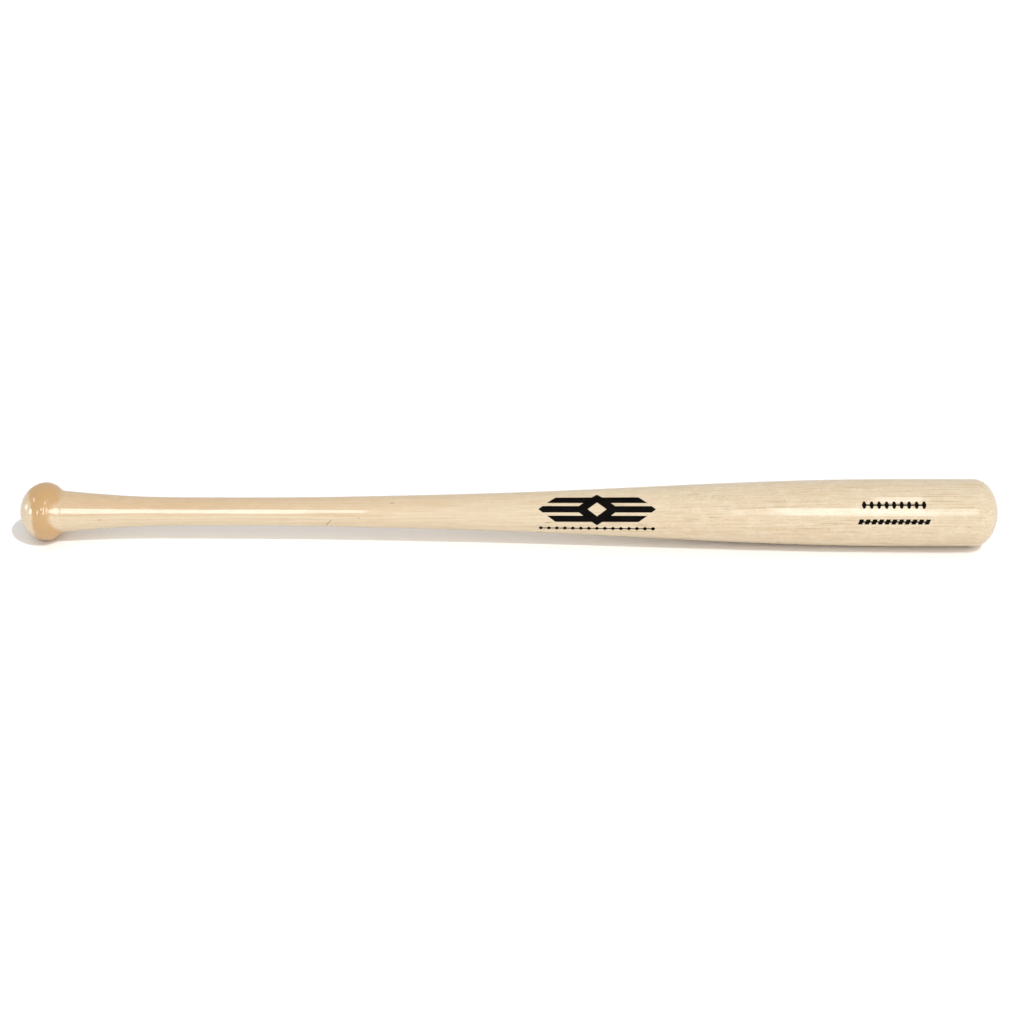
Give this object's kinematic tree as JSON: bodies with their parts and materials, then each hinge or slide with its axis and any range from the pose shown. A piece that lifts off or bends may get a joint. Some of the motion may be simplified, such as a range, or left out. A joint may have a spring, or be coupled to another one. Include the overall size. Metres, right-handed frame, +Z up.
{
  "type": "baseball bat",
  "caption": "One-piece turned wooden bat: round knob, slim flared handle, long taper to a round-ended barrel, clear gloss finish, with plain geometric marks on one side.",
  "frame": {"origin": "centre of the small flat on the knob end, on the bat's turning axis", "axes": "+X along the turning axis from the knob to the barrel end, +Z up, and the marked side faces -Y and 28 degrees upwards"},
  "size_m": [0.7874, 0.055, 0.0546],
  "materials": {
    "lacquered_maple": "pale hard maple, grain along the bat, sanded smooth under clear gloss lacquer",
    "black_film": "black transfer film under the same clear gloss lacquer"
  },
  "bodies": {
    "root": {"bat_body": "lacquered_maple", "emblem": "black_film", "emblem_underline": "black_film", "end_mark_upper": "black_film", "end_mark_lower": "black_film"}
  },
  "joints": []
}
